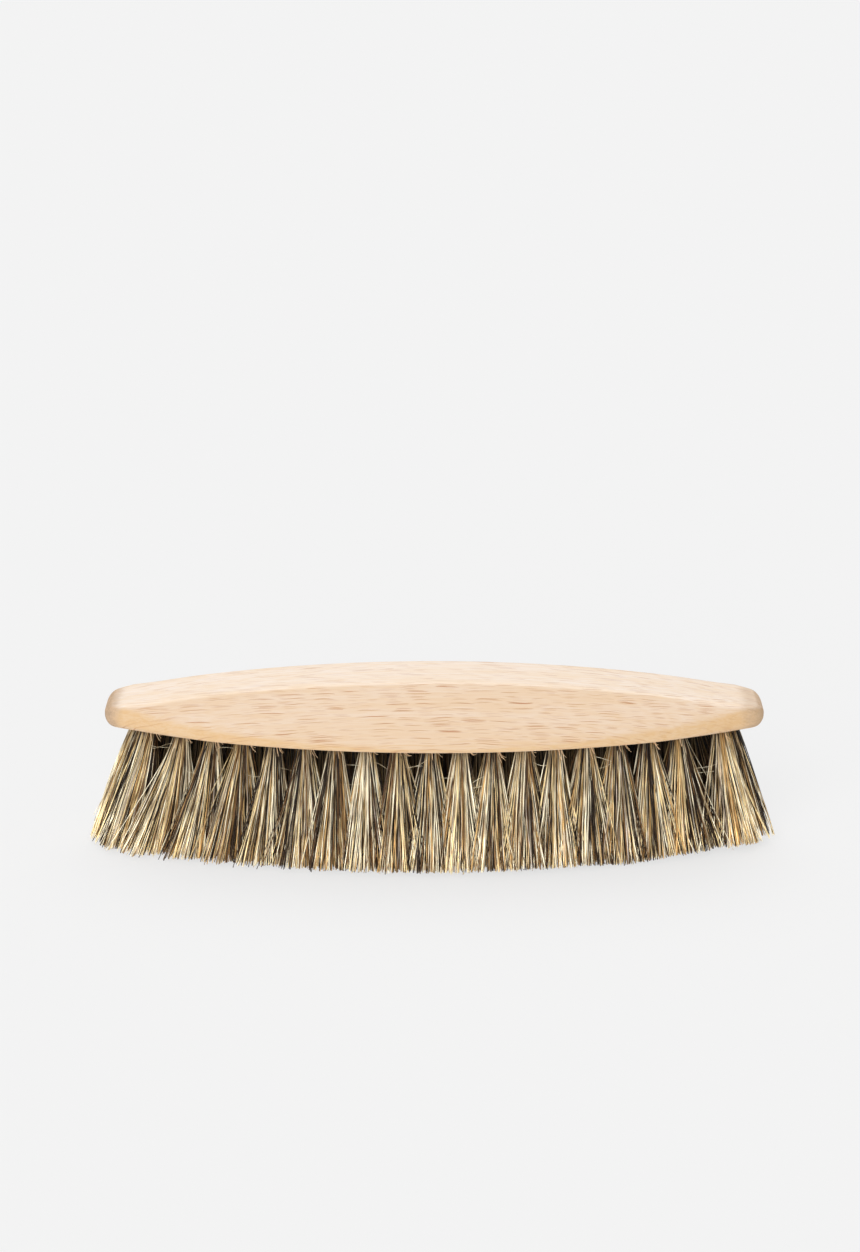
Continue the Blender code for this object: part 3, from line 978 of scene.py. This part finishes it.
def drill_underside(bm, face, shape, layout, rows, places, along):
    """The flat underside between the noses, with the holes in it."""
    low = shape.sizes.underside
    radius = layout.hair.hole_radius
    depth = ROOT_TOP - low + HOLE_CLEARANCE
    edge = [row[0] for row in rows] + [row[-1] for row in reversed(rows)]
    flat = [Vector((v.co.x, v.co.y)) for v in edge]
    links = [(i, (i + 1) % len(edge)) for i in range(len(edge))]
    holes = layout.all_places()
    turns = [math.tau * i / HOLE_SIDES for i in range(HOLE_SIDES)]
    rims = []
    for x, y in holes:
        start = len(flat)
        reach = radius + CHAMFER
        flat += [Vector((x + reach * math.cos(t), y + reach * math.sin(t))) for t in turns]
        links += [(start + i, start + (i + 1) % HOLE_SIDES) for i in range(HOLE_SIDES)]
        rims.append(start)
    spots, _, faces, sources, _, _ = delaunay_2d_cdt(flat, links, [], 1, JOIN_DISTANCE)
    verts = {}
    for i, (spot, source) in enumerate(zip(spots, sources)):
        known = [s for s in source if s < len(edge)]
        verts[i] = edge[known[0]] if known else bm.verts.new((spot.x, spot.y, low))
    at = {s: verts[i] for i, source in enumerate(sources) for s in source}

    def under(spot):
        u = np.interp(spot.x, places, along)
        return into(SIDE_MAP, u), into(UNDER_MAP, 1 / 2 + spot.y / shape.sizes.width)

    for corners in faces:
        centre = sum((spots[i] for i in corners), Vector((0, 0))) / len(corners)
        if any(math.hypot(centre.x - x, centre.y - y) < radius for x, y in holes):
            continue
        ordered = list(reversed(corners))
        face([verts[i] for i in ordered], [under(spots[i]) for i in ordered])
    for number, ((x, y), start) in enumerate(zip(holes, rims)):
        lean = layout.tip_of(x, y) - np.array((x, y, 0))
        levels = ((radius, CHAMFER), (radius, depth), (0.0, depth + radius / 2))
        above = [at[start + i] for i in range(HOLE_SIDES)]
        cell_u = into(BORE_MAP, number % BORE_COLUMNS / BORE_COLUMNS)
        cell_v = BORE_ROW * (number // BORE_COLUMNS) + BORE_MARGIN
        for level, (reach, rise) in enumerate(levels):
            centre = np.array((x, y, low + rise)) - lean * rise / low
            v = [cell_v + BORE_LEVEL * k for k in (level, level + 1)]
            if reach:
                below = [
                    bm.verts.new(centre + reach * np.array((math.cos(t), math.sin(t), 0)))
                    for t in turns
                ]
            else:
                below = [bm.verts.new(centre)] * HOLE_SIDES
            for i in range(HOLE_SIDES):
                j = (i + 1) % HOLE_SIDES
                u = [cell_u + BORE_WIDTH * k / HOLE_SIDES for k in (i, i + 1)]
                if reach:
                    corners = (above[i], above[j], below[j], below[i])
                    uvs = ((u[0], v[0]), (u[1], v[0]), (u[1], v[1]), (u[0], v[1]))
                else:
                    corners = (above[i], above[j], below[i])
                    uvs = ((u[0], v[0]), (u[1], v[0]), ((u[0] + u[1]) / 2, v[1]))
                face(corners, uvs, bore=True)
            above = below


# The hair


# Points along a hair, its bundle as a share of the hole, and how late it leans and fans out
Growth = namedtuple("Growth", "rings bundle lean fan")
EDGE = Growth(10, 0.79, 1.10, 1.12)
ROW_END = Growth(10, 0.92, 1.10, 1.15)
NOSE = Growth(10, 0.95, 0.90, 0.90)
INNER = Growth(7, 1.00, 1.10, 0.85)

# Hairs gather in locks by a share of the way, and scatter by a share of the tuft's fan
LOCKS = 60
ROOT_SCATTER = 0.4
GATHER = (0.15, 0.70)
TIP_SCATTER = 0.12
WILD_SHARE = 0.16
WILD_SCATTER = 0.35

# How far the tips reach, as shares of the fan: across a row, at a row's end and at the noses
FLUSH = 0.82
END_FAN = 0.55
SQUARENESS = 0.85
LEFT_WISPS = 0.90
RIGHT_WISPS = 1.30

# The ends: a sag near the right, a few longer hairs, and the lowest that a tip may hang
SAG_PLACE = 53.5 * MM
SAG_REACH = 9.0 * MM
LONG_SHARE = 0.015
LONGER = (0.3 * MM, 0.8 * MM)
LOWEST_TIP = -1.2 * MM

# How deep a hair starts in its hole, and its bows: how many along it, and their size
INSIDE = 1.6 * MM
BOWS = ((1, 0.34 * MM), (2, 0.12 * MM), (3, 0.05 * MM))

# Thickness in hair radii, how many hairs are coarse and by how much, and what is left at the tip
THICKNESS = (0.62, 1.15)
COARSE_SHARE = 0.25
COARSER = (1.15, 1.75)
TIP_TAPER = 0.78

# Colour numbers: hairs that follow their lock, how closely, and powers for paler and darker tufts
FOLLOW_SHARE = 0.30
FOLLOW_SCATTER = 0.03
TUFT_POWER = (0.80, 1.20)

# The side of each nose's hole where the hair is painted paler, as painted light from the left, with
# painted shade on the other side, and how much the numbers change across it
LEFT_LIT_SIDE = (-0.80, -0.35)
RIGHT_LIT_SIDE = (-0.35, 0.0)
PAINTED_LIGHT_STEP = 0.45


def spread(count, draw):
    """Evenly scattered places in a circle of radius one."""
    order = np.arange(count) + 0.5
    reach = np.sqrt(order / count)
    turn = order * math.pi * (3 - math.sqrt(5))
    spots = np.stack((reach * np.cos(turn), reach * np.sin(turn)), axis=1)
    return spots + draw.normal(0, ROOT_SCATTER / math.sqrt(count), (count, 2))


def tip_aims(roots, place, layout, draw):
    """Where each hair of a tuft points, as shares of the fan along and across the row."""
    x, y = place
    count = len(roots)
    seeds = roots[draw.choice(count, LOCKS, replace=False)]
    apart = np.linalg.norm(roots[:, None] - seeds[None], axis=2)
    lock = apart.argmin(axis=1)
    gather = draw.uniform(*GATHER, (count, 1))
    aims = roots * (1 - gather) + seeds[lock] * gather + draw.normal(0, TIP_SCATTER, (count, 2))
    wild = draw.random(count) < WILD_SHARE
    aims[wild] += draw.normal(0, WILD_SCATTER, (wild.sum(), 2))
    aims[:, 1] = np.clip(aims[:, 1], -FLUSH, FLUSH)
    outward = aims[:, 0] * x > 0
    if abs(x) >= layout.nose_x:
        aims[outward, 0] /= np.sqrt(1 - (SQUARENESS * aims[outward, 1]) ** 2)
        reach = LEFT_WISPS if x < 0 else RIGHT_WISPS
        side = math.copysign(1, x)
        aims[:, 0] = np.minimum(aims[:, 0] * side, reach) * side
    elif y and abs(x) >= layout.row_end:
        aims[outward, 0] *= END_FAN
    return aims, lock


def tip_heights(layout, x, draw):
    """How high above the ground the hairs with these tips end."""
    hair = layout.hair
    count = len(x)
    height = hair.lift + hair.tilt * x / layout.nose_x
    height -= hair.sag * np.exp(-(((x - SAG_PLACE) / SAG_REACH) ** 2))
    height += hair.unevenness * draw.normal(0, 1, count)
    longer = draw.random(count) < LONG_SHARE
    height[longer] -= draw.uniform(*LONGER, longer.sum())
    return np.maximum(height, LOWEST_TIP)


def tuft_paths(layout, place, count, growth, fan, draw):
    """The line that each hair of a tuft follows, its place in the hole and its lock."""
    x, y = place
    along = layout.along(x, y)
    across = np.array((-along[1], along[0], 0))
    roots = spread(count, draw)
    aims, lock = tip_aims(roots, place, layout, draw)

    tip = layout.tip_of(x, y)
    lean = tip - np.array((x, y, 0))
    bundle = layout.hair.hole_radius * growth.bundle
    mouth = np.array((x, y, layout.height))
    foot = mouth + (roots[:, :1] * along + roots[:, 1:] * across) * bundle
    start = foot + np.array((0, 0, INSIDE)) - lean * INSIDE / layout.height
    end = tip + (aims[:, :1] * along * fan[0]) + (aims[:, 1:] * across * fan[1])
    end[:, 2] = tip_heights(layout, end[:, 0], draw)

    t = np.linspace(0, 1, growth.rings - 1)[None, :, None]
    body = foot[:, None] * (1 - t) + end[:, None] * t
    fanned = end[:, :2] - foot[:, :2] - lean[:2]
    body[..., :2] = foot[:, None, :2] + lean[:2] * t**growth.lean + fanned[:, None] * t**growth.fan
    for number, amount in BOWS:
        sway = draw.normal(0, amount, (count, 1, 2))
        body[..., :2] += sway * np.sin(math.pi * number * t)
    return np.concatenate((start[:, None], body), axis=1), roots, lock


def hair_radii(hair, count, rings, draw):
    """How thick each hair is along its length: most are fine and a few are coarse."""
    own = hair.hair_radius * draw.uniform(*THICKNESS, (count, 1))
    coarse = draw.random(count) < COARSE_SHARE
    own[coarse] *= draw.uniform(*COARSER, (coarse.sum(), 1))
    return own * np.linspace(1.0, TIP_TAPER, rings)[None]


def hair_numbers(count, roots, lock, pale, draw):
    """A number from 0 to 1 for each hair, which gives its colour: many share their lock's.

    The pale side is a direction in the hole that gets painted light, and the hairs on the other
    side are darker with painted shade.
    """
    own = (draw.permutation(count) + draw.random(count)) / count
    shared = draw.random(LOCKS)[lock] + draw.normal(0, FOLLOW_SCATTER, count)
    follow = draw.random(count) < FOLLOW_SHARE
    numbers = np.clip(np.where(follow, shared, own), 0, 1)
    numbers **= draw.uniform(*TUFT_POWER)
    numbers += PAINTED_LIGHT_STEP * np.clip(roots @ np.array(pale), -1, 1)
    return np.clip(numbers, 0, 1)


def add_tuft(name, node_name, layout, place, count, growth, fan, seed, material, pale=(0, 0)):
    """One tuft of hair, in place of its part of the model."""
    draw = np.random.default_rng(seed)
    paths, roots, lock = tuft_paths(layout, place, count, growth, fan, draw)
    radii = hair_radii(layout.hair, count, growth.rings, draw)
    across = np.tile((1.0, 0.0, 0.0), (count, 1))
    numbers = hair_numbers(count, roots, lock, pale, draw)
    mesh = tube_mesh(name, paths, radii, across, numbers)
    return add_piece(name, mesh, material, HAIR_SLOT, node_name)


# Stray hairs and wood fibres


STRAYS_A_SIDE = 22
STRAY_RINGS = 9
STRAY_RADIUS = 0.055 * MM

# Where a stray hair leaves its tuft: the share of the way down, and how far out in hole radii
STRAY_LEVEL = (0.10, 0.42)
STRAY_SLOPE = 0.04
STRAY_OUT = (0.2, 0.8)

# Its bow outwards, its bow up or down and its wave, in millimetres, and the colour numbers
STRAY_BOW = 0.8
STRAY_RISE = 0.7
STRAY_WAVE = 0.25
STRAY_COLOURS = (0.75, 1.0)

BURR_RINGS = 8
BURR_SIDES = 4
BURR_RADIUS = 0.16 * MM
FEWEST_BURRS, MOST_BURRS = 2, 4

# Where a fibre stands on the rim and how far it curls, in radians, and its length in millimetres
BURR_TURN = (0.5, 1.4)
BURR_CURL = (0.8, 2.4)
BURR_LENGTH = (2.4, 4.0)

# The sweep outwards is a share of the length, and the root is sunk into the wood
BURR_SWEEP = 0.5
BURR_ROOT_OUT = 0.2 * MM
BURR_ROOT_UP = 0.25 * MM

# Thickness in radii, what is left of it at the tip, and a direction that no fibre points along
BURR_THICKNESS = (0.6, 1.2)
BURR_TIP = 0.35
OFF_EVERY_BURR = (0.35, 0.94, 0.1)


def add_strays(name, layout, material):
    """Fine hairs that have slipped out of their tuft and cross to the next one."""
    draw = np.random.default_rng(5000)
    t = np.linspace(0, 1, STRAY_RINGS)[:, None]
    paths = []
    for row, side in (("front_1", -1), ("rear_1", 1)):
        places = layout.rows[row]
        for i in draw.choice(len(places) - 1, STRAYS_A_SIDE, replace=True):
            ends = []
            level = draw.uniform(*STRAY_LEVEL)
            for place in (places[i], places[i + 1]):
                share_down = level + draw.normal(0, STRAY_SLOPE)
                mouth = np.array((*place, layout.height))
                spot = mouth * (1 - share_down) + layout.tip_of(*place) * share_down
                spot[1] += side * layout.hair.hole_radius * draw.uniform(*STRAY_OUT)
                ends.append(spot)
            line = ends[0] * (1 - t) + ends[1] * t
            bow = np.array((0, side * draw.uniform(0, STRAY_BOW), draw.normal(0, STRAY_RISE))) * MM
            line += bow * np.sin(math.pi * t)
            line[:, 2] += draw.normal(0, STRAY_WAVE) * MM * np.sin(2 * math.pi * t[:, 0])
            paths.append(line)
    count = len(paths)
    radii = np.full((count, STRAY_RINGS), STRAY_RADIUS)
    across = np.tile((0.0, 1.0, 0.0), (count, 1))
    numbers = draw.uniform(*STRAY_COLOURS, count)
    mesh = tube_mesh(name, np.array(paths), radii, across, numbers)
    return add_piece(name, mesh, material, HAIR_SLOT)


def add_burrs(name, layout, material):
    """Curled wood fibres that the drill has left at the rims of the outer holes."""
    draw = np.random.default_rng(6000)
    t = np.linspace(0, 1, BURR_RINGS)[:, None]
    paths = []
    for row, side in (("front_1", -1), ("rear_1", 1)):
        for place in layout.rows[row]:
            for _ in range(draw.integers(FEWEST_BURRS, MOST_BURRS + 1)):
                turn = draw.uniform(*BURR_TURN)
                out = np.array((math.cos(turn), side * math.sin(turn), 0))
                rim = np.array((*place, layout.height)) + out * layout.hair.hole_radius
                length = draw.uniform(*BURR_LENGTH) * MM
                curl = draw.uniform(*BURR_CURL)
                drop = np.sin(curl * t) / curl
                reach = (1 - np.cos(curl * t)) / curl
                line = rim + length * (out * reach - np.array((0, 0, 1)) * drop)
                line[:, 1] += side * draw.uniform(0, BURR_SWEEP) * length * t[:, 0] ** 2
                line[0] = rim + out * BURR_ROOT_OUT + np.array((0, 0, BURR_ROOT_UP))
                paths.append(line)
    count = len(paths)
    taper = np.linspace(1.0, BURR_TIP, BURR_RINGS)[None]
    radii = BURR_RADIUS * draw.uniform(*BURR_THICKNESS, (count, 1)) * taper
    across = np.tile(OFF_EVERY_BURR, (count, 1))
    mesh = tube_mesh(name, np.array(paths), radii, across, draw.random(count), BURR_SIDES)
    return add_piece(name, mesh, material, WOOD_SLOT)


# The pieces


def brush_parts(context):
    """The block's shape and the tufts' layout, from the scene's own sizes."""
    shape = BlockShape(context.scene.shoe_brush_block)
    return shape, TuftLayout(shape, context.scene.shoe_brush_hair)


class SHOEBRUSH_OT_block(bpy.types.Operator):
    """Builds the crowned beech block with its drilled holes"""

    bl_idname = "shoebrush.block"
    bl_label = "Beech Block"

    def execute(self, context):
        sizes = context.scene.shoe_brush_block
        shape, layout = brush_parts(context)
        mesh = block_mesh(shape, layout)
        face = beech_material("sanded_beech", sizes)
        # The bores' walls are darker, partly from rougher end grain and partly from painted shade
        # in the holes
        bore = beech_material("shaded_drilled_beech", sizes, fleck_strength=0.5, shade=0.55)
        made = add_piece("beech_block", mesh, face, WOOD_SLOT, "block")
        made.data.materials.append(bore)
        return {"FINISHED"}


class SHOEBRUSH_OT_edge_tufts(bpy.types.Operator):
    """Fills the outer ring of holes along both long sides"""

    bl_idname = "shoebrush.edge_tufts"
    bl_label = "Edge Tufts"

    def execute(self, context):
        _, layout = brush_parts(context)
        hair = layout.hair
        material = edge_hair(hair)
        for side, seed in (("front", 1000), ("rear", 2000)):
            for i, place in enumerate(layout.rows[f"{side}_1"]):
                spacing = layout.spacing(f"{side}_1", i)
                add_tuft(
                    f"hair_{side}_{i + 1:02d}",
                    f"tuft_{side}_{i + 1:02d}",
                    layout,
                    place,
                    round(hair.edge_hairs * spacing / layout.pitch),
                    ROW_END if abs(place[0]) >= layout.row_end else EDGE,
                    (hair.fan * spacing, hair.fan_across),
                    seed + i,
                    material,
                )
        return {"FINISHED"}


class SHOEBRUSH_OT_nose_tufts(bpy.types.Operator):
    """Fills the hole at each nose"""

    bl_idname = "shoebrush.nose_tufts"
    bl_label = "Nose Tufts"

    def execute(self, context):
        _, layout = brush_parts(context)
        hair = layout.hair
        material = edge_hair(hair)
        for i, place in enumerate(layout.rows["nose"]):
            add_tuft(
                f"hair_nose_{i + 1:02d}",
                f"tuft_nose_{i + 1:02d}",
                layout,
                place,
                hair.edge_hairs,
                NOSE,
                (hair.fan_across, hair.fan * layout.pitch),
                3000 + i,
                material,
                pale=(LEFT_LIT_SIDE, RIGHT_LIT_SIDE)[i],
            )
        return {"FINISHED"}


class SHOEBRUSH_OT_inner_tufts(bpy.types.Operator):
    """Fills the holes inside the outer ring"""

    bl_idname = "shoebrush.inner_tufts"
    bl_label = "Inner Tufts"

    def execute(self, context):
        _, layout = brush_parts(context)
        hair = layout.hair
        material = hair_material("inner_hair", hair, *INNER_SHADE)
        seed = 4000
        for row in ("front_2", "rear_2", "front_3", "rear_3", "middle"):
            number = 0
            for node_name, run in layout.runs(row):
                for place in run:
                    spacing = layout.spacing(row, number)
                    number += 1
                    seed += 1
                    add_tuft(
                        f"hair_{row}_{number:02d}",
                        node_name,
                        layout,
                        place,
                        round(hair.inner_hairs * spacing / layout.pitch),
                        INNER,
                        (hair.fan * spacing, hair.fan_across),
                        seed,
                        material,
                    )
        return {"FINISHED"}


class SHOEBRUSH_OT_strays(bpy.types.Operator):
    """Adds the fine hairs that cross from tuft to tuft"""

    bl_idname = "shoebrush.strays"
    bl_label = "Stray Hairs"

    def execute(self, context):
        _, layout = brush_parts(context)
        add_strays("stray_hairs", layout, edge_hair(layout.hair))
        return {"FINISHED"}


class SHOEBRUSH_OT_burrs(bpy.types.Operator):
    """Adds the wood fibres that curl from the rims of the holes"""

    bl_idname = "shoebrush.burrs"
    bl_label = "Drill Burrs"

    def execute(self, context):
        _, layout = brush_parts(context)
        sizes = context.scene.shoe_brush_block
        # The burrs are painted lighter than the faces: painted light where the block shades them
        material = beech_material("curled_beech_painted_light", sizes, fleck_strength=0.0, shade=1.35)
        add_burrs("drill_burrs", layout, material)
        return {"FINISHED"}


class SHOEBRUSH_OT_stage(bpy.types.Operator):
    """Sets up the pale floor, the soft light and the camera"""

    bl_idname = "shoebrush.stage"
    bl_label = "Stage"

    def execute(self, context):
        stage = context.scene.shoe_brush_stage
        add_floor(stage)
        add_lights(context, stage)
        add_camera(context, stage)
        context.scene.view_settings.view_transform = "Standard"
        return {"FINISHED"}


# The floor lies just below the lowest tips, and its shadow keeps this share of its strength
FLOOR_HALF = 6.0
FLOOR_HEIGHT = -1.3 * MM
FLOOR_SHADE = 0.22
FLOOR_ROUGHNESS = 0.9

# Which way the two soft lights point, as pitch and roll, and how wide they are, all in degrees
OVERHEAD_LIGHT = (-30, -1, 60)
FRONT_LIGHT = (58, -28, 50)


def seen(tree):
    """One for rays from the camera, in a mirror or through glass, and zero for the rest."""
    path = node(tree, "ShaderNodeLightPath").outputs
    found = calculate(tree, "ADD", path["Is Camera Ray"], path["Is Glossy Ray"])
    found = calculate(tree, "ADD", found, path["Is Transmission Ray"])
    return calculate(tree, "MINIMUM", found, 1)


def add_floor(stage):
    """A large pale floor that shows a faint shadow."""
    bm = bmesh.new()
    bmesh.ops.create_grid(bm, x_segments=8, y_segments=8, size=FLOOR_HALF)
    mesh = bpy.data.meshes.new("floor")
    bm.to_mesh(mesh)
    bm.free()
    floor = bpy.data.objects.new("floor", mesh)
    floor.location.z = FLOOR_HEIGHT
    bpy.context.scene.collection.objects.link(floor)
    material, tree, shader = new_material("pale_floor")
    shader.inputs["Base Color"].default_value = rgba(stage.floor)
    shader.inputs["Roughness"].default_value = FLOOR_ROUGHNESS
    shader.inputs["Specular IOR Level"].default_value = 0
    glow = node(tree, "ShaderNodeEmission", {"Color": rgba(stage.floor), "Strength": 1.0})
    factor = calculate(tree, "MULTIPLY", seen(tree), 1 - FLOOR_SHADE)
    blend = node(tree, "ShaderNodeMixShader", {0: factor, 1: shader.outputs[0], 2: glow.outputs[0]})
    tree.links.new(blend.outputs[0], tree.nodes["Material Output"].inputs["Surface"])
    mesh.materials.append(material)


def add_lights(context, stage):
    """Soft light from above and from the front, and an even light from all round."""
    for name, strength, angles in (
        ("overhead_light", stage.overhead, OVERHEAD_LIGHT),
        ("front_light", stage.front, FRONT_LIGHT),
    ):
        pitch, roll, width = (math.radians(angle) for angle in angles)
        light = bpy.data.lights.new(name, "SUN")
        light.energy = strength * math.pi
        light.angle = width
        made = bpy.data.objects.new(name, light)
        made.rotation_euler = (pitch, roll, 0)
        context.scene.collection.objects.link(made)
    world = bpy.data.worlds.new("soft_surroundings")
    world.use_nodes = True
    tree = world.node_tree
    light = tree.nodes["Background"]
    light.inputs["Color"].default_value = (1, 1, 1, 1)
    light.inputs["Strength"].default_value = stage.around
    backdrop = node(tree, "ShaderNodeBackground", {"Color": rgba(stage.floor), "Strength": 1.0})
    values = {0: seen(tree), 1: light.outputs[0], 2: backdrop.outputs[0]}
    blend = node(tree, "ShaderNodeMixShader", values)
    tree.links.new(blend.outputs[0], tree.nodes["World Output"].inputs["Surface"])
    context.scene.world = world


# The point that the camera circles, how far it aims past it, and how near and far it sees
AIM_HEIGHT = 0.033
AIM_UP = math.radians(1.615)
AIM_LEFT = math.radians(0.079)
NEAREST, FARTHEST = 0.05, 60


def add_camera(context, stage):
    """A long lens, a little above the brush."""
    data = bpy.data.cameras.new("camera")
    data.lens = stage.lens
    data.clip_start = NEAREST
    data.clip_end = FARTHEST
    camera = bpy.data.objects.new("camera", data)
    back = stage.distance * math.cos(stage.elevation)
    up = stage.distance * math.sin(stage.elevation)
    camera.location = (0, -back, AIM_HEIGHT + up)
    camera.rotation_euler = (math.pi / 2 - stage.elevation + AIM_UP, 0, AIM_LEFT)
    context.scene.collection.objects.link(camera)
    context.scene.camera = camera


class SHOEBRUSH_PT_pieces(bpy.types.Panel):
    """The sizes, the colours and the pieces of the brush"""

    bl_label = "Shoe Brush"
    bl_idname = "SHOEBRUSH_PT_pieces"
    bl_space_type = "VIEW_3D"
    bl_region_type = "UI"
    bl_category = "Shoe Brush"

    def draw(self, context):
        for label, settings in (
            ("Block", context.scene.shoe_brush_block),
            ("Hair", context.scene.shoe_brush_hair),
            ("Stage", context.scene.shoe_brush_stage),
        ):
            box = self.layout.box()
            box.label(text=label)
            for name in settings.__annotations__:
                box.prop(settings, name)
        for operator in OPERATORS:
            self.layout.operator(operator.bl_idname)


OPERATORS = (
    SHOEBRUSH_OT_block,
    SHOEBRUSH_OT_edge_tufts,
    SHOEBRUSH_OT_nose_tufts,
    SHOEBRUSH_OT_inner_tufts,
    SHOEBRUSH_OT_strays,
    SHOEBRUSH_OT_burrs,
    SHOEBRUSH_OT_stage,
)
CLASSES = (BrushBlock, BrushHair, BrushStage, *OPERATORS, SHOEBRUSH_PT_pieces)


def register():
    """Makes the settings, the operators and the panel known to Blender."""
    for kind in CLASSES:
        bpy.utils.register_class(kind)
    bpy.types.Scene.shoe_brush_block = PointerProperty(type=BrushBlock)
    bpy.types.Scene.shoe_brush_hair = PointerProperty(type=BrushHair)
    bpy.types.Scene.shoe_brush_stage = PointerProperty(type=BrushStage)


def unregister():
    """Takes them away again."""
    del bpy.types.Scene.shoe_brush_stage
    del bpy.types.Scene.shoe_brush_hair
    del bpy.types.Scene.shoe_brush_block
    for kind in reversed(CLASSES):
        bpy.utils.unregister_class(kind)


def main():
    """Builds the whole brush and its stage."""
    register()
    bpy.ops.shoebrush.block()
    bpy.ops.shoebrush.edge_tufts()
    bpy.ops.shoebrush.nose_tufts()
    bpy.ops.shoebrush.inner_tufts()
    bpy.ops.shoebrush.strays()
    bpy.ops.shoebrush.burrs()
    bpy.ops.shoebrush.stage()


if __name__ == "__main__":
    main()
